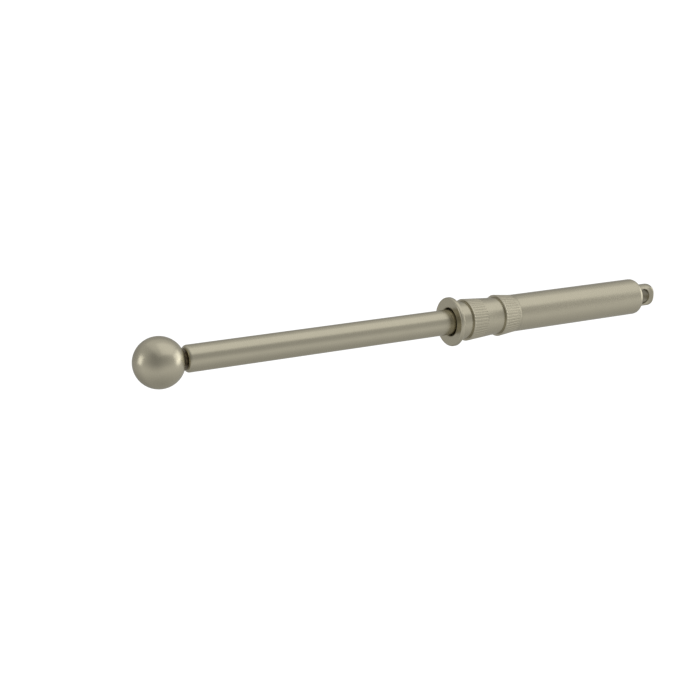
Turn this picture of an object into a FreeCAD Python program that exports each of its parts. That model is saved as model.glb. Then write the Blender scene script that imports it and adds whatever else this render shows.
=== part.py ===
"""Telescopic closet valet rod, in millimetres.

The rod lies along Y: the ball knob points to -Y, towards the user, and the barrel runs to +Y, into the
cabinet panel. The origin is on the rod's axis, in the plane of the flange's back face, which seats on
the panel. +Z is up. The rod is modelled drawn out as far as it goes.

Every turned piece is an outline in the radius-Y plane, spun about the Y axis.
"""
import FreeCAD
import Part
import math
import os

Vector = FreeCAD.Vector

# ---- barrel tube, and the walls between it and the rod ------------------------------------------
barrel_diameter = 19.05      # goes into a three-quarter-inch hole
barrel_wall = 0.7
spigot_wall = 0.7            # the collar's spigot, inside the tube
liner_wall = 0.7             # the liner, inside the spigot
bush_wall = 1.025            # the guide bush, inside the liner; the rod runs in it
running_clearance = 0.05     # radial, between pieces that turn or slide in one another
barrel_depth = 118.5         # from the flange's back face to the tube's rolled-in end
barrel_end_rounding = 2.6

# ---- collar: flange, neck and two knurled barbs ---------------------------------------------------
flange_height = 2.825        # how far the flange stands out from the barrel
flange_thickness = 2.2
flange_front_rounding = 0.9
flange_back_rounding = 0.5
flange_fillet_spare = 0.075  # the fillet behind the flange ends this far outside the barbs
lip_height = 1.3             # the lip in the mouth, which keeps the guide bush in
lip_depth = 3.0
lip_rounding = 1.2
neck_length = 6.6
barb_height = 1.125          # how far a barb's front stands out from the barrel
barb_rounding = 0.4
barb_1_length = 15.5
barb_1_smooth_end = 6.5      # the rear stretch without knurling
gap_between_barbs = 4.0
barb_2_length = 10.4
barb_2_smooth_end = 1.3
knurl_teeth = 42
knurl_depth = 0.2
knurl_width = 0.75           # each groove's width at the surface
seam_chamfer = 0.1           # on both edges of the seam between collar and tube
spigot_length = 8.0

# ---- rear eye -----------------------------------------------------------------------------------------
eye_diameter = 11.9
eye_length = 11.8
eye_tip_rounding = 3.2
eye_thickness = 7.6          # across the two flats
eye_hole_diameter = 8.0
eye_hole_setback = 0.15      # between the tube's end and the hole's edge
eye_hole_chamfer = 0.3
eye_head_thickness = 4.0
liner_recess_depth = 1.5     # the liner's end sits in the eye's head

# ---- rod and knob -------------------------------------------------------------------------------------
rod_wall = 1.6
rod_reach = 141.4            # bare rod in front of the flange, drawn out
rod_edge_rounding = 1.5
knob_diameter = 23.8
knob_boss_diameter = 6.0
knob_gap = 0.7               # the boss that shows between knob and rod
stud_diameter = 4.0
stud_in_knob = 11.0
stud_in_rod = 12.0
thread_chamfer = 0.5
tapped_hole_spare = 1.0      # tapped holes run on past their stud or screw
front_plug_length = 15.0
rear_plug_length = 13.0

# ---- guide bush and stops -----------------------------------------------------------------------------
bush_flange_thickness = 1.2
bush_length = 11.2
wiper_section = 0.6          # thickness of the wiper ring's round section
wiper_groove_width = 0.8
wiper_offset = 5.0           # behind the bush's front face
stop_ring_length = 2.0
stop_ring_clearance = 0.2    # radial, round the rod
bumper_thickness = 2.5
stop_gap = 0.3               # between the piston and the stop at each end of its travel

# ---- piston and its swivel screw ------------------------------------------------------------------
piston_length = 14.0
piston_land = 1.2            # the ridges between the piston's grooves
edge_rounding = 0.3          # small edges of bush, piston and screw head
band_width = 2.5
band_thickness = 0.8
band_slit = 0.8
band_clearance = 0.025       # radial, between the piston's rings and the liner
friction_ring_section = 1.6
friction_groove_width = 2.2
washer_thickness = 0.45
washer_inset = 0.55          # radial, from the rod's surface
wave_washer_thickness = 0.5
axial_play = 0.05            # along the swivel screw
screw_shoulder_diameter = 6.0
screw_head_diameter = 8.4
screw_head_height = 3.2
screw_head_clearance = 0.4   # radial, in the piston's counterbore
screw_head_recess = 0.85     # the head's depth below the piston's rear face
screw_thread_diameter = 5.0
screw_thread_length = 9.0
screw_socket_width = 3.0     # across the hexagon's flats
screw_socket_depth = 1.8

# ---- radii that follow from the sizes above -------------------------------------------------------
barrel_radius = barrel_diameter / 2
barrel_bore_radius = barrel_radius - barrel_wall
collar_bore_radius = barrel_bore_radius - spigot_wall
liner_bore_radius = collar_bore_radius - liner_wall
bush_bore_radius = liner_bore_radius - bush_wall
rod_radius = bush_bore_radius - running_clearance
rod_bore_radius = rod_radius - rod_wall
flange_radius = barrel_radius + flange_height
barb_radius = barrel_radius + barb_height
mouth_radius = collar_bore_radius - lip_height
eye_radius = eye_diameter / 2
eye_hole_radius = eye_hole_diameter / 2
knob_radius = knob_diameter / 2
boss_radius = knob_boss_diameter / 2
stud_radius = stud_diameter / 2
piston_radius = liner_bore_radius - running_clearance
ring_radius = liner_bore_radius - band_clearance
shoulder_radius = screw_shoulder_diameter / 2
pivot_radius = shoulder_radius + running_clearance
screw_head_radius = screw_head_diameter / 2
counterbore_radius = screw_head_radius + screw_head_clearance
thread_radius = screw_thread_diameter / 2

# ---- stations along Y that follow from them -----------------------------------------------------------
flange_front = -flange_thickness
rod_front = flange_front - rod_reach
boss_front = rod_front - knob_gap
knob_centre = boss_front - math.sqrt(knob_radius ** 2 - boss_radius ** 2)

barb_1_start = neck_length
barb_1_end = barb_1_start + barb_1_length
barb_2_start = barb_1_end + gap_between_barbs
collar_end = barb_2_start + barb_2_length
spigot_end = collar_end + spigot_length

bush_front = flange_front + lip_depth
liner_front = bush_front + bush_flange_thickness
bush_end = bush_front + bush_length
stop_ring_end = bush_end + stop_ring_length
piston_front = stop_ring_end + stop_gap
piston_end = piston_front + piston_length
rod_end = piston_front - axial_play - washer_thickness
screw_head_end = piston_end - screw_head_recess
screw_head_front = screw_head_end - screw_head_height
counterbore_front = screw_head_front - wave_washer_thickness - axial_play

eye_head_end = barrel_depth - barrel_wall
eye_head_front = eye_head_end - eye_head_thickness
liner_end = eye_head_front + liner_recess_depth
bumper_front = liner_end - bumper_thickness
slide_travel = bumper_front - stop_gap - piston_end


# ---- ways of making a solid -------------------------------------------------------------------------
def rounded_outline(corners):
    """A closed wire in the XY plane through corners (x, y) or (x, y, rounding), rounded by tangent arcs."""
    count = len(corners)
    points = [Vector(corner[0], corner[1], 0) for corner in corners]
    roundings = [corner[2] if len(corner) > 2 else 0 for corner in corners]
    arcs = []
    for i, point in enumerate(points):
        to_last = (points[i - 1] - point).normalize()
        to_next = (points[(i + 1) % count] - point).normalize()
        if roundings[i] == 0:
            arcs.append((point, None, point))
            continue
        half_angle = to_last.getAngle(to_next) / 2
        setback = roundings[i] / math.tan(half_angle)
        middle = (to_last + to_next).normalize()
        nearest = roundings[i] / math.sin(half_angle) - roundings[i]
        arcs.append((point + to_last * setback, point + middle * nearest, point + to_next * setback))
    edges = []
    for i, (start, through, end) in enumerate(arcs):
        if through is not None:
            edges.append(Part.Arc(start, through, end).toShape())
        next_start = arcs[(i + 1) % count][0]
        if end.distanceToPoint(next_start) > 1e-6:
            edges.append(Part.makeLine(end, next_start))
    return Part.Wire(edges)


def turned(corners):
    """The solid swept by an outline of (radius, y[, rounding]) corners spun about the Y axis."""
    face = Part.Face(rounded_outline(corners))
    return face.revolve(Vector(0, 0, 0), Vector(0, 1, 0), 360)


def ring(inner_radius, outer_radius, start, end, rounding=0):
    """A turned sleeve between two stations, its outer edges rounded."""
    return turned([
        (inner_radius, start),
        (outer_radius, start, rounding),
        (outer_radius, end, rounding),
        (inner_radius, end),
    ])


def rod_between(radius, start, end):
    """A plain cylinder along Y between two stations."""
    return Part.makeCylinder(radius, end - start, Vector(0, start, 0), Vector(0, 1, 0))


def pin(radius, start, end, chamfer):
    """A cylinder along Y with both ends chamfered."""
    return turned([
        (0, start),
        (radius - chamfer, start),
        (radius, start + chamfer),
        (radius, end - chamfer),
        (radius - chamfer, end),
        (0, end),
    ])


def round_ring(middle_radius, section_radius, station):
    """A ring of round section about the Y axis."""
    return Part.makeTorus(middle_radius, section_radius, Vector(0, station, 0), Vector(0, 1, 0))


def knurl_grooves(barb_start, barb_end, smooth_end):
    """Straight V grooves, evenly spaced round a barb's cone, up to its smooth rear end."""
    slope = barb_height / (barb_end - barb_start)
    spill = knurl_depth                      # the cutters stand this far out of the surface
    half_width = knurl_width / 2 * (knurl_depth + spill) / knurl_depth

    def section(station):
        surface = barb_radius - slope * (station - barb_start)
        root = Vector(0, station, surface - knurl_depth)
        left = Vector(-half_width, station, surface + spill)
        right = Vector(half_width, station, surface + spill)
        return Part.makePolygon([root, left, right, root])

    # The cutter starts in the air, ahead of the barb's shoulder.
    cutter = Part.makeLoft([section(barb_start - spill), section(barb_end - smooth_end)], True, True)
    grooves = []
    for tooth in range(knurl_teeth):
        groove = cutter.copy()
        groove.rotate(Vector(0, 0, 0), Vector(0, 1, 0), 360 * tooth / knurl_teeth)
        grooves.append(groove)
    return grooves


# ---- the pieces that stay in the panel ---------------------------------------------------------------
def mounting_collar():
    """Flange, neck, two knurled barbs that grip the panel's hole, and a spigot for the barrel tube."""
    body = turned([
        (mouth_radius, flange_front, lip_rounding),
        (flange_radius, flange_front, flange_front_rounding),
        (flange_radius, 0, flange_back_rounding),
        (barrel_radius, 0, barb_height + flange_fillet_spare),
        (barrel_radius, barb_1_start),
        (barb_radius, barb_1_start, barb_rounding),
        (barrel_radius, barb_1_end),
        (barrel_radius, barb_2_start),
        (barb_radius, barb_2_start, barb_rounding),
        (barrel_radius, collar_end - seam_chamfer),
        (barrel_radius - seam_chamfer, collar_end),
        (barrel_bore_radius, collar_end),
        (barrel_bore_radius, spigot_end),
        (collar_bore_radius, spigot_end),
        (collar_bore_radius, bush_front),
        (mouth_radius, bush_front),
    ])
    grooves = knurl_grooves(barb_1_start, barb_1_end, barb_1_smooth_end)
    grooves += knurl_grooves(barb_2_start, collar_end - seam_chamfer, barb_2_smooth_end - seam_chamfer)
    return body.cut(grooves)


def barrel_tube():
    """Drawn tube, its far end rolled in round the eye."""
    return turned([
        (barrel_bore_radius, collar_end),
        (barrel_radius - seam_chamfer, collar_end),
        (barrel_radius, collar_end + seam_chamfer),
        (barrel_radius, barrel_depth, barrel_end_rounding),
        (eye_radius, barrel_depth),
        (eye_radius, eye_head_end),
        (barrel_bore_radius, eye_head_end, barrel_end_rounding - barrel_wall),
    ])


def rear_eye():
    """Fixing eye: a head trapped in the tube, and a flat-sided tongue with a cross hole for a screw."""
    eye_tip = barrel_depth + eye_length
    body = turned([
        (0, liner_end),
        (collar_bore_radius, liner_end),
        (collar_bore_radius, eye_head_front),
        (barrel_bore_radius, eye_head_front),
        (barrel_bore_radius, eye_head_end, barrel_end_rounding - barrel_wall),
        (eye_radius, eye_head_end),
        (eye_radius, eye_tip, eye_tip_rounding),
        (0, eye_tip),
    ])
    flat = eye_thickness / 2
    waste = Part.makeBox(eye_radius, eye_length, eye_diameter, Vector(flat, barrel_depth, -eye_radius))
    other_waste = waste.mirror(Vector(0, 0, 0), Vector(1, 0, 0))
    hole_centre = barrel_depth + eye_hole_setback + eye_hole_radius
    across = Vector(1, 0, 0)
    hole = Part.makeCylinder(eye_hole_radius, eye_diameter, Vector(-eye_radius, hole_centre, 0), across)
    chamfer = Part.makeCone(
        eye_hole_radius, eye_hole_radius + eye_hole_chamfer, eye_hole_chamfer,
        Vector(flat - eye_hole_chamfer, hole_centre, 0), across)
    other_chamfer = chamfer.mirror(Vector(0, 0, 0), across)
    return body.cut([waste, other_waste]).cut([hole, chamfer, other_chamfer])


def guide_bush():
    """Plain bearing for the rod, kept in by the collar's lip, with an inner groove for the wiper ring."""
    groove_start = bush_front + wiper_offset
    groove_end = groove_start + wiper_groove_width
    return turned([
        (bush_bore_radius, bush_front, edge_rounding),
        (collar_bore_radius, bush_front),
        (collar_bore_radius, liner_front),
        (liner_bore_radius, liner_front),
        (liner_bore_radius, bush_end),
        (bush_bore_radius, bush_end),
        (bush_bore_radius, groove_end),
        (bush_bore_radius + wiper_section, groove_end),
        (bush_bore_radius + wiper_section, groove_start),
        (bush_bore_radius, groove_start),
    ])


def wiper_ring():
    """Rubber ring in the bush that wipes and steadies the rod."""
    section_radius = wiper_section / 2
    station = bush_front + wiper_offset + wiper_groove_width / 2
    return round_ring(bush_bore_radius + section_radius, section_radius, station)


def slide_liner():
    """Thin plastic sleeve that the piston runs in."""
    return ring(liner_bore_radius, collar_bore_radius, liner_front, liner_end)


def front_stop_ring():
    """Rubber ring that the piston meets when the rod is drawn out."""
    return ring(rod_radius + stop_ring_clearance, liner_bore_radius, bush_end, stop_ring_end)


def rear_bumper():
    """Rubber disc that the piston meets when the rod is pushed in."""
    return rod_between(liner_bore_radius, bumper_front, liner_end)


# ---- the piston, which slides in the liner -----------------------------------------------------------
def piston_stations():
    """Start and end of the front band's groove, the friction ring's groove and the rear band's groove."""
    front_band = piston_front + piston_land
    friction = front_band + band_width + piston_land
    rear_band = friction + friction_groove_width + piston_land
    return (
        (front_band, front_band + band_width),
        (friction, friction + friction_groove_width),
        (rear_band, rear_band + band_width),
    )


def piston():
    """Piston on the rod's inner end, bored for the swivel screw and grooved for three rings."""
    front_band, friction, rear_band = piston_stations()
    body = turned([
        (pivot_radius, piston_front),
        (piston_radius, piston_front, edge_rounding),
        (piston_radius, piston_end, edge_rounding),
        (counterbore_radius, piston_end),
        (counterbore_radius, counterbore_front),
        (pivot_radius, counterbore_front),
    ])
    band_root = ring_radius - band_thickness
    friction_root = ring_radius - friction_ring_section
    return body.cut([
        ring(band_root, collar_bore_radius, *front_band),
        ring(friction_root, collar_bore_radius, *friction),
        ring(band_root, collar_bore_radius, *rear_band),
    ])


def glide_band(stations):
    """Split plastic band in one of the piston's grooves."""
    start, end = stations
    band = ring(ring_radius - band_thickness, ring_radius, start, end)
    slit = Part.makeBox(band_slit, end - start, collar_bore_radius, Vector(-band_slit / 2, start, 0))
    return band.cut(slit)


def friction_ring():
    """Rubber ring that holds the rod wherever it is left."""
    start, end = piston_stations()[1]
    section_radius = friction_ring_section / 2
    return round_ring(ring_radius - section_radius, section_radius, (start + end) / 2)


# ---- the rod, which turns on the piston's screw --------------------------------------------------------
def rod_tube():
    """The rod itself: a tube with its front edge rounded, at most by its wall."""
    return turned([
        (rod_bore_radius, rod_front),
        (rod_radius, rod_front, min(rod_edge_rounding, rod_wall)),
        (rod_radius, rod_end),
        (rod_bore_radius, rod_end),
    ])


def rod_front_plug():
    """Tapped plug in the rod's front end; its boss shows in the gap behind the knob."""
    hole_end = rod_front + stud_in_rod + tapped_hole_spare
    return turned([
        (stud_radius, boss_front),
        (boss_radius, boss_front),
        (boss_radius, rod_front),
        (rod_bore_radius, rod_front),
        (rod_bore_radius, rod_front + front_plug_length),
        (0, rod_front + front_plug_length),
        (0, hole_end),
        (stud_radius, hole_end),
    ])


def rod_rear_plug():
    """Tapped plug in the rod's inner end, flush with it."""
    hole_front = rod_end - screw_thread_length - tapped_hole_spare
    return turned([
        (0, rod_end - rear_plug_length),
        (rod_bore_radius, rod_end - rear_plug_length),
        (rod_bore_radius, rod_end),
        (thread_radius, rod_end),
        (thread_radius, hole_front),
        (0, hole_front),
    ])


def knob_stud():
    """Headless stud that joins the knob to the rod."""
    return pin(stud_radius, boss_front - stud_in_knob, rod_front + stud_in_rod, thread_chamfer)


def ball_knob():
    """Ball with a flat that seats on the plug's boss, and a tapped hole."""
    ball = Part.makeSphere(knob_radius, Vector(0, knob_centre, 0))
    behind_flat = rod_between(knob_radius, boss_front, boss_front + knob_radius)
    hole = rod_between(stud_radius, boss_front - stud_in_knob - tapped_hole_spare, boss_front)
    return ball.cut([behind_flat, hole])


def swivel_washer():
    """Washer between the rod's end and the piston."""
    return ring(shoulder_radius, rod_radius - washer_inset, rod_end, rod_end + washer_thickness)


def wave_washer():
    """Spring washer under the swivel screw's head."""
    washer_front = screw_head_front - wave_washer_thickness
    return ring(shoulder_radius, screw_head_radius, washer_front, screw_head_front)


def swivel_screw():
    """Shoulder screw that holds the piston to the rod and lets the rod turn."""
    thread_front = rod_end - screw_thread_length
    body = turned([
        (0, thread_front),
        (thread_radius - thread_chamfer, thread_front),
        (thread_radius, thread_front + thread_chamfer),
        (thread_radius, rod_end),
        (shoulder_radius, rod_end),
        (shoulder_radius, screw_head_front),
        (screw_head_radius, screw_head_front),
        (screw_head_radius, screw_head_end, edge_rounding),
        (0, screw_head_end),
    ])
    corner_radius = screw_socket_width / math.sqrt(3)
    hexagon = Part.makePolygon([
        Vector(
            corner_radius * math.cos(math.radians(60 * side)),
            screw_head_end - screw_socket_depth,
            corner_radius * math.sin(math.radians(60 * side)))
        for side in range(7)
    ])
    socket = Part.Face(hexagon).extrude(Vector(0, screw_socket_depth, 0))
    return body.cut(socket)


# ---- export ---------------------------------------------------------------------------------------
def main():
    front_band, _, rear_band = piston_stations()
    nodes = {
        "mounting_collar": mounting_collar(),
        "barrel_tube": barrel_tube(),
        "rear_eye": rear_eye(),
        "guide_bush": guide_bush(),
        "wiper_ring": wiper_ring(),
        "slide_liner": slide_liner(),
        "front_stop_ring": front_stop_ring(),
        "rear_bumper": rear_bumper(),
        "piston": piston(),
        "glide_band_front": glide_band(front_band),
        "friction_ring": friction_ring(),
        "glide_band_rear": glide_band(rear_band),
        "rod_tube": rod_tube(),
        "rod_front_plug": rod_front_plug(),
        "rod_rear_plug": rod_rear_plug(),
        "knob_stud": knob_stud(),
        "ball_knob": ball_knob(),
        "swivel_washer": swivel_washer(),
        "wave_washer": wave_washer(),
        "swivel_screw": swivel_screw(),
    }
    os.makedirs("parts", exist_ok=True)
    for name, shape in nodes.items():
        shape.exportStep(os.path.join("parts", name + ".step"))
        print(f"{name}: {len(shape.Solids)} solid, {shape.Volume:.1f} mm3, valid {shape.isValid()}")
    print(f"travel of the rod: {slide_travel:.2f} mm")


main()
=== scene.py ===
"""Looks of a pull-out closet valet rod, built round the frame that was packed from its CAD model.

The rod lies along Y: the ball points to -Y, the barrel to +Y, +Z is up, and the origin is on the axis in
the plane of the flange's back face. Sizes here are in millimetres, as in the CAD source, and turn into
metres in one place, in skin(). Every visible piece is a surface worked out as whole numpy arrays: an
outline carried round the Y axis, or grids of two parameters that share their edges.
"""
import math

import bmesh
import bpy
import numpy as np
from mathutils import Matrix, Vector


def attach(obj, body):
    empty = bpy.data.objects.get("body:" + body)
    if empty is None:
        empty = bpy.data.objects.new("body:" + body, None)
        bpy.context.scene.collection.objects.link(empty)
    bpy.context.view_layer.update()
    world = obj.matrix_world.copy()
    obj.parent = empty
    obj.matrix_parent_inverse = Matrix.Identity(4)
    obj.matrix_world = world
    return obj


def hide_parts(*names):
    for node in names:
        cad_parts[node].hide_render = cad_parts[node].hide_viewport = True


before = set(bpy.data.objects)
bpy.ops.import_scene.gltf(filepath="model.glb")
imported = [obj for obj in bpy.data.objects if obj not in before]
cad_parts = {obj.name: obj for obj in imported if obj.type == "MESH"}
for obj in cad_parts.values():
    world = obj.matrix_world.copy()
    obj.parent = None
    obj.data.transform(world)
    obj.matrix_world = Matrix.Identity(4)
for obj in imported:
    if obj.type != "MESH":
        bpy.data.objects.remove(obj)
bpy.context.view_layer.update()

MM = 0.001
TURN = 2 * math.pi

# ---- sizes, in millimetres, as in the CAD source ------------------------------------------------------
barrel_radius = 9.525
barrel_wall = 0.7
barrel_bore_radius = barrel_radius - barrel_wall
spigot_wall = 0.7
collar_bore_radius = barrel_bore_radius - spigot_wall
liner_bore_radius = 7.425
bush_bore_radius = 6.4
barrel_depth = 118.5
barrel_end_rounding = 2.6

flange_radius = 12.35
flange_thickness = 2.2
flange_front = -flange_thickness
flange_front_rounding = 0.9
flange_back_rounding = 0.5
flange_root_fillet = 1.2
lip_depth = 3.0
lip_rounding = 1.2
mouth_radius = 6.825
barb_radius = 10.65
barb_rounding = 0.4
barb_1_start, barb_1_end = 6.6, 22.1
barb_2_start, barb_2_end = 26.1, 36.3  # behind its end a short slope leads down to the seam
knurl_1_end, knurl_2_end = 15.6, 35.2
knurl_teeth = 42
knurl_depth = 0.2
knurl_width = 0.75
burr_height = 0.14            # of the tallest burr at a groove's end
burr_length = 0.22
collar_end = 36.5
seam_chamfer = 0.05           # finer than in the CAD source
spigot_end = 44.5

eye_radius = 5.95
eye_tip = 130.3
eye_tip_rounding = 3.2
eye_flat = 3.8                # half the thickness across the flats
eye_hole_radius = 4.0
eye_hole_chamfer = 0.3
eye_hole_centre = 122.65
eye_rim_softness = 0.8        # how far the rim's edge is broken on each side
eye_foot_softness = 0.3       # the same at the step at the flat's foot
eye_head_front, eye_head_end = 113.8, 117.8
eye_head_clearance = 0.02     # radial, between the eye's head and the tube
liner_end = 115.3

rod_radius = 6.35
rod_bore_radius = 4.75
rod_edge_rounding = 1.5
rod_front = -143.6
rod_end = 15.8
boss_radius = 3.0
boss_front = -144.3
stud_radius = 2.0
knob_radius = 11.9
knob_centre = boss_front - math.sqrt(knob_radius ** 2 - boss_radius ** 2)
front_plug_end = rod_front + 15.0
plug_hole_end = rod_front + 13.0
knob_hole_end = boss_front - 12.0

bush_front = flange_front + lip_depth
liner_front = bush_front + 1.2
bush_end = bush_front + 11.2
bush_rounding = 0.3
bush_groove = bush_front + 5.0, bush_front + 5.8
bush_groove_radius = bush_bore_radius + 0.6

EDGE = 0.08                   # how far small edges that the CAD leaves sharp are broken
SUPPORT = 0.1                 # how far beside a rounding a point keeps the straight run straight
LONGEST_RUN = 8.0             # between two points of an outline
ARC_STEP = 0.17               # radians, between two points of a rounding


# ---- outlines and surfaces ----------------------------------------------------------------------------
def outline(corners, closed=True):
    """Points (radius, station) through corners (radius, station[, rounding]).

    A rounded corner is the arc that touches both its sides, swept evenly in angle. Just outside each arc
    lies one support point, so that smooth shading doesn't bend the straight run, and long runs are cut
    into equal shorter ones.
    """
    corner = np.array([c[:2] for c in corners], float)
    rounding = np.array([c[2] if len(c) > 2 else 0.0 for c in corners])
    count = len(corner)
    parts = []
    for i in range(count):
        here = corner[i]
        if rounding[i] == 0:
            parts.append(here[None])
            continue
        before, after = corner[i - 1] - here, corner[(i + 1) % count] - here
        before, after = before / np.linalg.norm(before), after / np.linalg.norm(after)
        half = math.acos(np.clip(before @ after, -1, 1)) / 2
        middle = (before + after) / np.linalg.norm(before + after)
        centre = here + middle * rounding[i] / math.sin(half)
        start = here + before * rounding[i] / math.tan(half)
        end = here + after * rounding[i] / math.tan(half)
        sweep = math.pi - 2 * half
        t = np.linspace(0, 1, max(5, int(sweep / ARC_STEP)))[:, None]
        from_start, from_end = np.sin((1 - t) * sweep), np.sin(t * sweep)
        arc = centre + (from_start * (start - centre) + from_end * (end - centre)) / math.sin(sweep)
        parts.append(np.vstack([start + before * SUPPORT, arc, end + after * SUPPORT]))
    points = np.vstack(parts + [parts[0][:1]] if closed else parts)
    runs = np.linalg.norm(np.diff(points, axis=0), axis=1)
    filled = [
        np.linspace(points[i], points[i + 1], max(1, math.ceil(runs[i] / LONGEST_RUN)), endpoint=False)
        for i in range(len(runs))]
    return np.vstack(filled + [points[-1:]])


def carried_round(points, angles):
    """Grid of points: the outline's radius times (cos, sin) of each angle in X and Z, its station in Y.

    An outline is one row of (radius, station) for all angles, or a grid with a column for each.
    """
    radius = points[:, :1] if points.ndim == 2 else points[..., 0]
    station = points[:, 1:2] if points.ndim == 2 else points[..., 1]
    return np.stack(np.broadcast_arrays(radius * np.cos(angles), station, radius * np.sin(angles)), axis=-1)


def full_turn(steps):
    """Angles of one full turn, with the first repeated at the end."""
    return np.linspace(0, TURN, steps + 1)


def grid_faces(rows, columns, first=0):
    """Four-cornered faces between neighbouring points of a grid, whose points are numbered from first."""
    index = np.arange(rows * columns).reshape(rows, columns) + first
    return np.stack([index[:-1, :-1], index[1:, :-1], index[1:, 1:], index[:-1, 1:]], -1).reshape(-1, 4)


def skin(name, patches, material, body, slot, stands_for, **marks):
    """One closed mesh from grids of points in millimetres.

    Grids share their edges' points, and these, the turn's first and last column and the points at a pole
    are merged, so that the surface closes. Its faces point outwards, which its volume shows by being above
    zero. marks are values per point, one array for each patch, kept as attributes.
    """
    points, faces, first = [], [], 0
    for patch in patches:
        rows, columns = patch.shape[:2]
        faces.append(grid_faces(rows, columns, first))
        points.append(patch.reshape(-1, 3))
        first += rows * columns
    mesh = bpy.data.meshes.new(name)
    mesh.from_pydata((np.vstack(points) * MM).tolist(), [], np.vstack(faces).tolist())
    for mark, values in marks.items():
        attribute = mesh.attributes.new(mark, "FLOAT", "POINT")
        attribute.data.foreach_set("value", np.concatenate([v.ravel() for v in values]).astype(np.float32))
    welded = bmesh.new()
    welded.from_mesh(mesh)
    bmesh.ops.remove_doubles(welded, verts=welded.verts, dist=1e-8)
    bmesh.ops.recalc_face_normals(welded, faces=welded.faces)
    if welded.calc_volume(signed=True) < 0:
        bmesh.ops.reverse_faces(welded, faces=welded.faces)
    welded.to_mesh(mesh)
    welded.free()
    mesh.shade_smooth()
    piece = bpy.data.objects.new(name, mesh)
    bpy.context.scene.collection.objects.link(piece)
    mesh.materials.append(material)
    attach(piece, body)
    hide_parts(stands_for)
    return piece


def smoothstep(low, high, x):
    """0 below low, 1 above high, and 3t^2 - 2t^3 between."""
    t = np.clip((x - low) / (high - low), 0, 1)
    return t * t * (3 - 2 * t)


# ---- materials -----------------------------------------------------------------------------------------
class Nodes:
    """The node tree of a new material or world, with one short call for each node and link."""

    def __init__(self, owner, shader="Principled BSDF"):
        owner.use_nodes = True
        self.owner = owner
        self.tree = owner.node_tree
        self.shader = self.tree.nodes[shader]

    def add(self, kind, settings=(), **sockets):
        """Adds a node, sets its properties, and sets or links its inputs by name."""
        node = self.tree.nodes.new(kind)
        for key, value in dict(settings).items():
            setattr(node, key, value)
        for key, value in sockets.items():
            self.feed(node, key.replace("_", " "), value)
        return node

    def feed(self, node, socket, value):
        """Links the value if it is another node's output, and sets it otherwise."""
        if isinstance(value, bpy.types.NodeSocket):
            self.tree.links.new(value, node.inputs[socket])
        else:
            node.inputs[socket].default_value = value

    def dress(self, **sockets):
        """Feeds the shader's inputs by name."""
        for key, value in sockets.items():
            self.feed(self.shader, key.replace("_", " "), value)

    def place(self):
        """Where a point lies on its piece, in metres."""
        return self.add("ShaderNodeTexCoord").outputs["Object"]

    def blend(self, share, start, end):
        """The colour start where share is 0, end where it is 1, and a mix between."""
        mix = self.add("ShaderNodeMix", {"data_type": "RGBA"})
        for socket, value in ((0, share), (6, start), (7, end)):
            self.feed(mix, socket, value)
        return mix.outputs[2]

    def turning_marks(self, across, along):
        """Fine marks round the Y axis: noise with so many grains per metre across and along it."""
        stretched = self.add("ShaderNodeMapping", Vector=self.place(), Scale=(across, along, across))
        return self.add(
            "ShaderNodeTexNoise", Vector=stretched.outputs["Vector"], Scale=1.0, Detail=2.0).outputs["Fac"]


def new_material(name):
    """The nodes of a new material."""
    return Nodes(bpy.data.materials.new(name))


def satin_nickel():
    """Satin nickel: warm grey metal with very fine marks round the axis, and faintly cloudy."""
    nodes = new_material("satin_nickel")
    marks = nodes.turning_marks(300, 14000)
    clouds = nodes.add("ShaderNodeTexNoise", Vector=nodes.place(), Scale=110.0, Detail=3.0).outputs["Fac"]
    plating = nodes.blend(clouds, (0.490, 0.456, 0.350, 1), (0.522, 0.486, 0.372, 1))
    # Painted shade: where a piece's mark is 1, the base colour is blended to a darker grey. This is in the
    # eye's hole and towards its tip.
    thin = nodes.add("ShaderNodeAttribute", {"attribute_name": "thin_plating"}).outputs["Fac"]
    rough = nodes.add("ShaderNodeMapRange", Value=marks, From_Min=0.3, From_Max=0.7, To_Min=0.25, To_Max=0.31)
    bump = nodes.add("ShaderNodeBump", Height=marks, Strength=0.10, Distance=0.00002)
    nodes.dress(
        Base_Color=nodes.blend(thin, plating, (0.36, 0.335, 0.257, 1)), Metallic=1.0,
        Specular_Tint=(0.7, 0.7, 0.7, 1), Roughness=rough.outputs["Result"], Normal=bump.outputs["Normal"])
    return nodes.owner


def moulded(name, colour, roughness):
    """Moulded plastic or rubber: dark, with a fine pebbled skin."""
    nodes = new_material(name)
    grain = nodes.add("ShaderNodeTexNoise", Vector=nodes.place(), Scale=2500.0, Detail=3.0).outputs["Fac"]
    rough = nodes.add("ShaderNodeMapRange", Value=grain, To_Min=roughness - 0.08, To_Max=roughness + 0.08)
    bump = nodes.add("ShaderNodeBump", Height=grain, Strength=0.3, Distance=0.00005)
    nodes.dress(Base_Color=(*colour, 1), Roughness=rough.outputs["Result"], Normal=bump.outputs["Normal"])
    return nodes.owner


def turned_steel(name, colour, roughness):
    """Turned steel, with fine marks round the axis."""
    nodes = new_material(name)
    bump = nodes.add("ShaderNodeBump", Height=nodes.turning_marks(150, 6000), Strength=0.25, Distance=0.00003)
    nodes.dress(Base_Color=(*colour, 1), Metallic=1.0, Roughness=roughness, Normal=bump.outputs["Normal"])
    return nodes.owner


NICKEL = satin_nickel()
STEEL = turned_steel("plain_steel", (0.52, 0.52, 0.52), 0.3)
# Painted shade: a dark steel for the rod's front plug, standing for the shade in the gap between ball and
# rod.
PAINTED_SHADE_STEEL = turned_steel("blackened_steel", (0.24, 0.20, 0.13), 0.4)
ACETAL = moulded("acetal", (0.11, 0.10, 0.075), 0.45)
RUBBER = moulded("rubber", (0.02, 0.02, 0.02), 0.75)


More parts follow.
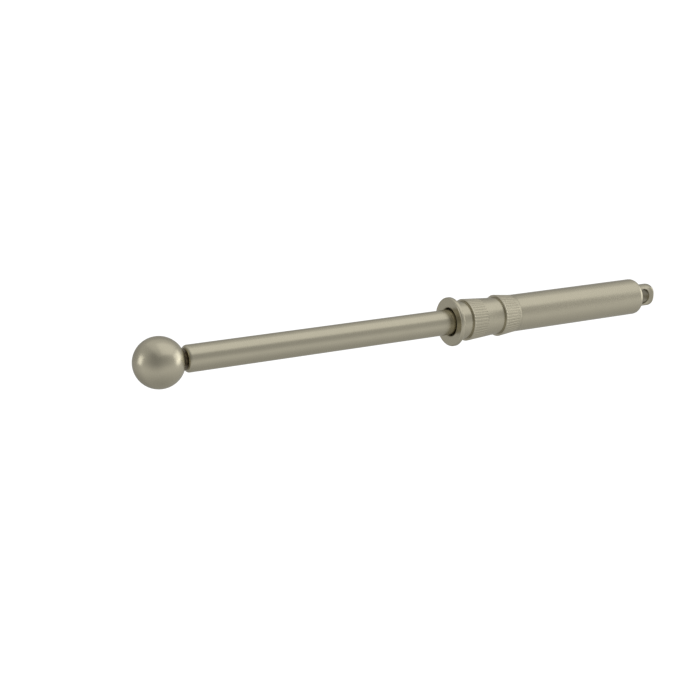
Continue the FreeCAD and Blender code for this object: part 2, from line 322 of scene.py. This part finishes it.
# ---- the knob and the rod ------------------------------------------------------------------------------
def ball_knob():
    """Ball: an arc about its centre from the front pole to the flat's edge, then the flat and the hole."""
    edge = math.asin(boss_radius / knob_radius)
    angle = np.linspace(0, math.pi - edge, 97)
    arc = np.stack([knob_radius * np.sin(angle), knob_centre - knob_radius * np.cos(angle)], axis=1)
    arc[0, 0] = 0
    arc[-1] = boss_radius, boss_front
    seat = outline([
        (boss_radius - EDGE, boss_front),
        (stud_radius, boss_front, EDGE),
        (stud_radius, knob_hole_end, EDGE),
        (0, knob_hole_end),
    ], closed=False)
    ball = carried_round(np.vstack([arc, seat]), full_turn(192))
    return skin("ball", [ball], NICKEL, "rod", "satin_nickel", "ball_knob")


def rod_tube():
    """Rod: its wall's outline, with the front edge rounded, carried round."""
    wall = outline([
        (rod_bore_radius, rod_front, EDGE / 4),
        (rod_radius, rod_front, rod_edge_rounding),
        (rod_radius, rod_end, EDGE),
        (rod_bore_radius, rod_end, EDGE),
    ])
    return skin("rod", [carried_round(wall, full_turn(160))], NICKEL, "rod", "satin_nickel", "rod_tube")


def rod_front_plug():
    """Plug in the rod's front end, with the boss that shows between ball and rod."""
    plug = carried_round(outline([
        (stud_radius, boss_front, EDGE),
        (boss_radius, boss_front, EDGE),
        (boss_radius, rod_front, EDGE),
        (rod_bore_radius, rod_front, EDGE / 4),
        (rod_bore_radius, front_plug_end, EDGE),
        (0, front_plug_end),
        (0, plug_hole_end),
        (stud_radius, plug_hole_end, EDGE),
    ]), full_turn(96))
    # The plug's dark colour is painted shade for the gap between ball and rod.
    return skin("rod_plug", [plug], PAINTED_SHADE_STEEL, "rod", "blackened_steel", "rod_front_plug")


# ---- the collar ----------------------------------------------------------------------------------------
def on_barb(start, end, stations):
    """Outline points on a barb's cone, which falls evenly from its front to the barrel's radius."""
    return [(barb_radius - (barb_radius - barrel_radius) * (y - start) / (end - start), y) for y in stations]


def mounting_collar():
    """Collar: its outline carried round, with the knurl's grooves pressed into the two barbs.

    A groove is a V across the tooth. It deepens over a short way behind the barb's rounded front edge and
    runs out over a short way at its end. The metal that a groove pushes up stands as a small burr at its
    end, of a different height at each tooth.
    """
    run_in = np.array([0.55, 0.7, 0.85, 1.0, 1.2])
    run_out = np.array([-1.2, -0.8, -0.5, -0.3, -0.1, 0.1, 0.3, 0.5, 0.8])
    wall = outline([
        (mouth_radius, flange_front, lip_rounding),
        (flange_radius, flange_front, flange_front_rounding),
        (flange_radius, 0, flange_back_rounding),
        (barrel_radius, 0, flange_root_fillet),
        (barrel_radius, barb_1_start, EDGE),
        (barb_radius, barb_1_start, barb_rounding),
        *on_barb(barb_1_start, barb_1_end, barb_1_start + run_in),
        *on_barb(barb_1_start, barb_1_end, knurl_1_end + run_out),
        (barrel_radius, barb_1_end),
        (barrel_radius, barb_2_start, EDGE),
        (barb_radius, barb_2_start, barb_rounding),
        *on_barb(barb_2_start, barb_2_end, barb_2_start + run_in),
        *on_barb(barb_2_start, barb_2_end, knurl_2_end + run_out),
        (barrel_radius, barb_2_end, EDGE / 2),
        (barrel_radius - seam_chamfer, collar_end),
        (barrel_bore_radius, collar_end, EDGE / 2),
        (barrel_bore_radius, spigot_end, EDGE),
        (collar_bore_radius, spigot_end, EDGE),
        (collar_bore_radius, bush_front, EDGE / 2),
        (mouth_radius, bush_front, EDGE),
    ])
    radius, station = wall[:, :1], wall[:, 1:]
    outside = radius >= barrel_radius - 1e-6

    # Places across one tooth, in millimetres on the barb's front, and the whole turn of them. The last
    # column repeats the first.
    across = np.array([-0.795, -0.6, -0.43, -0.36, -0.28, -0.17, 0, 0.17, 0.28, 0.36, 0.43, 0.6])
    tooth = np.repeat(np.arange(knurl_teeth), len(across))
    places = np.tile(across, knurl_teeth)
    # The first tooth's groove points straight up, along +Z.
    angles = TURN * (tooth + 0.5) / knurl_teeth + places / barb_radius + TURN * (0.25 - 0.5 / knurl_teeth)
    angles = np.append(angles, angles[0] + TURN)
    tooth, places = np.append(tooth, 0), np.append(places, across[0])
    groove = np.clip(1 - np.abs(places) / (knurl_width / 2), 0, 1)

    share = np.zeros_like(radius)
    burr_place = np.zeros_like(radius)
    for start, end in ((barb_1_start, knurl_1_end), (barb_2_start, knurl_2_end)):
        between = outside & (station > start) & (station < end + 0.6)
        deep = smoothstep(start + 0.3, start + 1.1, station) * (1 - smoothstep(end - 0.5, end + 0.3, station))
        share = np.where(between, deep, share)
        burr_place += outside * np.exp(-((station - end - 0.2) / burr_length) ** 2)
    chance = np.random.default_rng(7)
    burr = (chance.random(knurl_teeth) ** 3 * burr_height)[tooth] * groove
    depth = knurl_depth * groove * share - burr * burr_place
    collar = carried_round(np.stack(np.broadcast_arrays(radius - depth, station), axis=-1), angles)
    return skin("collar", [collar], NICKEL, "housing", "satin_nickel", "mounting_collar")


def guide_bush():
    """Guide bush in the collar's mouth, with its inner groove for the wiper ring."""
    wall = outline([
        (bush_bore_radius, bush_front, bush_rounding),
        (collar_bore_radius, bush_front, EDGE),
        (collar_bore_radius, liner_front, EDGE),
        (liner_bore_radius, liner_front, EDGE),
        (liner_bore_radius, bush_end, EDGE),
        (bush_bore_radius, bush_end, EDGE),
        (bush_bore_radius, bush_groove[1]),
        (bush_groove_radius, bush_groove[1]),
        (bush_groove_radius, bush_groove[0]),
        (bush_bore_radius, bush_groove[0]),
    ])
    return skin("bush", [carried_round(wall, full_turn(96))], ACETAL, "housing", "acetal", "guide_bush")


# ---- the barrel ----------------------------------------------------------------------------------------
def barrel_tube():
    """Barrel: its wall's outline, rolled in round the eye at the far end, carried round."""
    wall = carried_round(outline([
        (barrel_bore_radius, collar_end, EDGE / 2),
        (barrel_radius - seam_chamfer, collar_end),
        (barrel_radius, collar_end + seam_chamfer, EDGE / 2),
        (barrel_radius, barrel_depth, barrel_end_rounding),
        (eye_radius, barrel_depth, 0.15),
        (eye_radius, eye_head_end, EDGE),
        (barrel_bore_radius, eye_head_end, barrel_end_rounding - barrel_wall),
    ]), full_turn(192))
    return skin("barrel", [wall], NICKEL, "housing", "satin_nickel", "barrel_tube")


# ---- the eye -------------------------------------------------------------------------------------------
# The flat's foot lies so far from the hole's centre, and its corner at this angle round it.
eye_foot = eye_hole_centre - barrel_depth
eye_corner = math.pi - math.atan2(math.sqrt(eye_radius ** 2 - eye_flat ** 2), eye_foot)


def round_hole(angle):
    """Directions (0, cos, sin) of the angles round the hole's axis, which runs along X."""
    return np.stack([np.zeros_like(angle), np.cos(angle), np.sin(angle)], -1)


def from_hole(direction, distance, x):
    """Points at a distance from the hole's axis in each direction, and at x along it."""
    hub = np.array([0, eye_hole_centre, 0])
    return hub + direction * np.reshape(distance, (-1, 1)) + np.array([1.0, 0, 0]) * np.reshape(x, (-1, 1))


def curved(a, b, c):
    """Rows of points on the quadratic curves from a to c, which leave and arrive towards b."""
    t = np.linspace(0, 1, 7)[:, None, None]
    return (1 - t) ** 2 * a + 2 * t * (1 - t) * b + t ** 2 * c


def eye_outer_radius(station):
    """Radius of the eye's round body: even, then falling on a circle to the flat of its tip."""
    beyond = np.clip(station - (eye_tip - eye_tip_rounding), 0, eye_tip_rounding)
    return eye_radius - eye_tip_rounding + np.sqrt(eye_tip_rounding ** 2 - beyond ** 2)


def reach(start, direction, x):
    """How far a ray in a plane across X runs, from a station on the axis, until it leaves the eye's body.

    The ray is inside while z^2 + x^2 is less than the body's radius squared and the tip is not passed. The
    way out is found by halving.
    """
    shape = np.broadcast_shapes(np.shape(start), direction.shape[:-1], np.shape(x))
    low, high = np.zeros(shape), np.full(shape, 30.0)
    for _ in range(50):
        middle = (low + high) / 2
        station = start + middle * direction[..., 1]
        height = middle * direction[..., 2]
        inside = (height ** 2 + x ** 2 < eye_outer_radius(station) ** 2) & (station < eye_tip)
        low, high = np.where(inside, middle, low), np.where(inside, high, middle)
    return low


def hole_and_flat(direction, edge):
    """Rows along the hole's wall from its middle, over its chamfer and out on the flat towards the edge."""
    chamfer_foot = eye_flat - eye_hole_chamfer - 0.1
    mouth = eye_hole_radius + eye_hole_chamfer
    rows = [from_hole(direction, eye_hole_radius, x) for x in np.linspace(0, chamfer_foot, 6)]
    rows += list(curved(
        from_hole(direction, eye_hole_radius, chamfer_foot),
        from_hole(direction, eye_hole_radius + 0.05, eye_flat - 0.02),
        from_hole(direction, mouth, eye_flat))[1:])
    rows += [from_hole(direction, mouth + (edge - mouth) * t, eye_flat) for t in (0.3, 0.65)]
    return rows


def eye_rim():
    """Rows that go over the flat to the tip and the sides, round the rim's edge and down to its middle.

    On the rim a row goes straight up or down from the axis beside the barrel, and turns to go straight out
    from the hole's centre at the tip.
    """
    angle = np.linspace(-eye_corner, eye_corner, 121)
    direction = round_hole(angle)
    edge = reach(eye_hole_centre, direction, eye_flat)
    edge_station, edge_height = eye_hole_centre + edge * direction[:, 1], edge * direction[:, 2]
    upright = 1 - smoothstep(eye_hole_centre, eye_tip - 1.0, edge_station)
    start = eye_hole_centre + (edge_station - eye_hole_centre) * upright
    towards = np.stack([np.zeros_like(angle), edge_station - start, edge_height], -1)
    towards /= np.linalg.norm(towards, axis=-1, keepdims=True)
    room = edge - eye_hole_radius - eye_hole_chamfer - 0.06
    soft = np.minimum(eye_rim_softness, room) * smoothstep(0, 0.3, eye_corner - np.abs(angle))
    rim_top = eye_flat - soft * 0.8

    def on_rim(x):
        distance = reach(start, towards, x)
        return np.stack([x, start + distance * towards[:, 1], distance * towards[:, 2]], -1)

    rows = hole_and_flat(direction, edge - soft)
    rows += list(curved(
        from_hole(direction, edge - soft, eye_flat), from_hole(direction, edge, eye_flat), on_rim(rim_top)))
    rows += [on_rim(rim_top * t) for t in np.linspace(0.9, 0, 12)]
    return np.stack(rows)


def eye_step():
    """Rows that go over the flat to its foot at the barrel, and out along the step there to the neck."""
    angle = np.linspace(eye_corner, TURN - eye_corner, 61)
    direction = round_hole(angle)
    distance = eye_foot / -np.cos(angle)
    height = distance * np.sin(angle)
    step = np.sqrt(np.maximum(eye_radius ** 2 - height ** 2, eye_flat ** 2)) - eye_flat
    soft = np.minimum(eye_foot_softness, step * 0.4)
    before_foot = distance - soft / -np.cos(angle)
    rows = hole_and_flat(direction, before_foot)
    rows += list(curved(
        from_hole(direction, before_foot, eye_flat),
        from_hole(direction, distance, eye_flat),
        from_hole(direction, distance, eye_flat + soft)))
    rows += [from_hole(direction, distance, eye_flat + (soft + (step - soft) * t)) for t in (0.35, 0.7, 1.0)]
    return np.stack(rows)


def eye_neck(rim, step):
    """The round neck and the head in the tube: an outline carried round the rim's and the step's points."""
    mirror = np.array([-1.0, 1, 1])
    # The ring of points at the barrel's end, once round: +X side, top, -X side, bottom.
    rim_edge = np.argmax(np.all(np.isclose(rim[:, -1], step[-1, 0], atol=1e-6), axis=-1))
    top, bottom = rim[rim_edge:, -1], rim[rim_edge:, 0]
    top = np.vstack([top, (top * mirror)[::-1]])
    bottom = np.vstack([bottom, (bottom * mirror)[::-1]])
    side = step[-1][::-1]
    ring = np.vstack([side, top, (side * mirror)[::-1], bottom[::-1]])[:, [0, 2]]
    ring /= np.linalg.norm(ring, axis=1, keepdims=True)
    head_radius = barrel_bore_radius - eye_head_clearance
    head = outline([
        (eye_radius, barrel_depth),
        (eye_radius, eye_head_end),
        (head_radius, eye_head_end, barrel_end_rounding - barrel_wall),
        (head_radius, eye_head_front, EDGE),
        (collar_bore_radius, eye_head_front, EDGE),
        (collar_bore_radius, liner_end, EDGE),
        (0, liner_end),
    ], closed=False)
    station = np.broadcast_to(head[:, 1:], (len(head), len(ring)))
    return np.stack([head[:, :1] * ring[:, 0], station, head[:, :1] * ring[:, 1]], axis=-1)


def rear_eye():
    """Eye: rings of points that run from the cross hole's wall, over its chamfer and the flat, to the rim.

    Each ring lies in a direction round the hole's centre. Towards the tip and the sides it goes on round
    the body's rim to the other flat. Towards the barrel it steps out at the flat's foot to the round neck,
    which then goes on into the tube as a turned head. Edges are quadratic curves through their corner.
    Painted shade darkens the base colour on the hole's wall and towards the tip.
    """
    rim, step = eye_rim(), eye_step()
    mirror = np.array([-1.0, 1, 1])
    patches = [rim, rim * mirror, step, step * mirror, eye_neck(rim, step)]
    # Painted shade: 1 on the hole's wall and towards the tip, where the base colour is darkened.
    thin = []
    for patch in patches:
        from_middle = np.hypot(patch[..., 1] - eye_hole_centre, patch[..., 2])
        in_hole = smoothstep(0, 0.5, eye_flat - eye_hole_chamfer - np.abs(patch[..., 0]))
        at_tip = smoothstep(eye_hole_centre + 2.5, eye_hole_centre + 5.0, patch[..., 1])
        thin.append(np.where(from_middle < eye_hole_radius + 0.02, in_hole, at_tip))
    return skin("eye", patches, NICKEL, "housing", "satin_nickel", "rear_eye", thin_plating=thin)


ball_knob()
rod_tube()
rod_front_plug()
mounting_collar()
guide_bush()
barrel_tube()
rear_eye()

# The hidden pieces keep their solids.
for node, material in {
    "wiper_ring": RUBBER, "slide_liner": ACETAL, "front_stop_ring": RUBBER, "rear_bumper": RUBBER,
    "piston": ACETAL, "glide_band_front": ACETAL, "friction_ring": RUBBER, "glide_band_rear": ACETAL,
    "rod_rear_plug": STEEL, "knob_stud": STEEL, "swivel_washer": STEEL, "wave_washer": STEEL,
    "swivel_screw": STEEL,
}.items():
    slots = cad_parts[node].data.materials
    slots.clear()
    slots.append(material)


# ---- floor, light and camera --------------------------------------------------------------------------
def stage_surface(name, radius, level, base, glow):
    """Part of the studio: an outline of radii and levels in metres, carried round the Z axis.

    It has plain pale paint and glows by itself. The metal doesn't mirror it: what it mirrors is the
    studio's light.
    """
    angle = full_turn(96)
    points = np.stack(np.broadcast_arrays(
        radius[:, None] * np.cos(angle), radius[:, None] * np.sin(angle), level[:, None]), axis=-1)
    mesh = bpy.data.meshes.new(name)
    mesh.from_pydata(points.reshape(-1, 3).tolist(), [], grid_faces(len(radius), len(angle)).tolist())
    mesh.shade_smooth()
    surface = bpy.data.objects.new(name, mesh)
    bpy.context.scene.collection.objects.link(surface)
    nodes = new_material(name)
    nodes.dress(
        Base_Color=(base, base, base, 1), Roughness=1.0, Specular_IOR_Level=0.0,
        Emission_Color=(1, 1, 1, 1), Emission_Strength=glow)
    mesh.materials.append(nodes.owner)
    surface.visible_glossy = False
    return surface


def floor_and_backdrop(height, flat, bend, wall):
    """Pale floor that bends up on a quarter circle into a low wall all round, and a white dome on the wall.

    The dome is half a sphere. It is there for views from low down, and takes and gives no light.
    """
    rise = np.linspace(0, math.pi / 2, 17)
    room = flat + bend
    stage_surface(
        "floor",
        np.concatenate([[0, flat / 2], flat + bend * np.sin(rise), [room]]),
        height + np.concatenate([[0, 0], bend * (1 - np.cos(rise)), [bend + wall]]),
        base=0.5, glow=0.8)
    dome = stage_surface(
        "backdrop", room * np.cos(rise), height + bend + wall + room * np.sin(rise), base=0.0, glow=1.0)
    dome.visible_diffuse = False
    dome.visible_transmission = False
    dome.visible_shadow = False


def panel_light(name, place, aim, size, brightness):
    """A rectangular soft light at a place, turned towards a point, unseen by the camera.

    Its brightness is the radiance of its face: the power over pi times the area.
    """
    data = bpy.data.lights.new(name, "AREA")
    data.shape = "RECTANGLE"
    data.size, data.size_y = size
    data.energy = brightness * math.pi * size[0] * size[1]
    light = bpy.data.objects.new(name, data)
    light.location = place
    light.rotation_euler = (Vector(aim) - Vector(place)).to_track_quat("-Z", "Y").to_euler()
    light.visible_camera = False
    bpy.context.scene.collection.objects.link(light)


def studio(levels, openings):
    """Light from all round: its brightness goes by height, and is less about each opening of the studio.

    levels gives the brightness at heights from -1, straight down, to 1, straight up. openings gives each
    opening's direction, the cosines of the angle from it where the loss begins and where it is whole, and
    how much brightness is missing there.
    """
    world = bpy.data.worlds.new("studio")
    bpy.context.scene.world = world
    nodes = Nodes(world, "Background")
    ray = nodes.add("ShaderNodeTexCoord").outputs["Generated"]
    height = nodes.add("ShaderNodeSeparateXYZ", Vector=ray).outputs["Z"]
    share = nodes.add("ShaderNodeMapRange", Value=height, From_Min=-1.0).outputs["Result"]
    ramp = nodes.add("ShaderNodeValToRGB", Fac=share)
    stops = ramp.color_ramp.elements
    while len(stops) < len(levels):
        stops.new(0.5)
    for stop, (level, brightness) in zip(stops, levels.items()):
        stop.position = (level + 1) / 2
        stop.color = (brightness, brightness, brightness, 1)
    strength = ramp.outputs["Color"]
    for direction, edge, heart, missing in openings:
        towards = nodes.add("ShaderNodeVectorMath", {"operation": "DOT_PRODUCT"})
        nodes.feed(towards, 0, ray)
        nodes.feed(towards, 1, direction)
        less = nodes.add(
            "ShaderNodeMapRange", Value=towards.outputs["Value"],
            From_Min=edge, From_Max=heart, To_Max=-missing)
        total = nodes.add("ShaderNodeMath")
        nodes.feed(total, 0, strength)
        nodes.feed(total, 1, less.outputs["Result"])
        strength = total.outputs["Value"]
    nodes.dress(Color=(1, 1, 1, 1), Strength=strength)


def camera_at(place, forward, lens):
    """The camera at a place, looking along a direction, with a lens in millimetres on a 36 mm sensor."""
    camera = bpy.data.objects.new("camera", bpy.data.cameras.new("camera"))
    bpy.context.scene.collection.objects.link(camera)
    camera.location = place
    camera.rotation_euler = Vector(forward).to_track_quat("-Z", "Y").to_euler()
    camera.data.sensor_width = 36
    camera.data.lens = lens
    camera.data.clip_start = 0.01
    bpy.context.scene.camera = camera


floor_and_backdrop(height=-0.5, flat=3.2, bend=0.5, wall=0.25)
panel_light("overhead", (0.05, 0.45, 0.92), (0.05, 0.45, 0), (2.0, 2.1), 0.20)
panel_light("overhead_middle", (0.3, 0.45, 0.9), (0.3, 0.45, 0), (1.1, 1.3), 0.27)
panel_light("left", (-0.352, -1.177, 0.21), (0, -0.155, 0), (0.4, 0.5), 1.18)
panel_light("right", (0.164, 1.014, 0.208), (0, -0.155, 0), (0.35, 0.5), 0.57)
panel_light("right_low", (0.410, 0.971, -0.042), (0, -0.155, 0), (0.5, 0.3), 0.96)
panel_light("right_wide", (0.35, 1.6, 0.45), (0, -0.155, 0), (1.4, 0.9), 0.81)
studio(
    {-1: 0.46, -0.7: 0.60, -0.35: 0.74, -0.1: 0.70, 0.15: 0.61, 0.45: 0.61, 0.75: 0.54},
    [
        ((0.834, -0.354, 0.423), 0.6, 0.95, 0.17),
        ((0.636, -0.707, 0.309), 0.6, 0.95, 0.10),
        ((0.824, 0.476, 0.309), 0.87, 0.99, 0.07),
        ((-0.845, -0.468, -0.259), 0.6, 0.95, 0.18),
        ((-0.671, 0.470, 0.574), 0.87, 0.99, 0.09),
    ])
camera_at((0.5105778, -0.3446103, 0.1516243), (-0.8421, 0.4716, -0.2617), lens=64.785)
bpy.context.scene.view_settings.view_transform = "Standard"
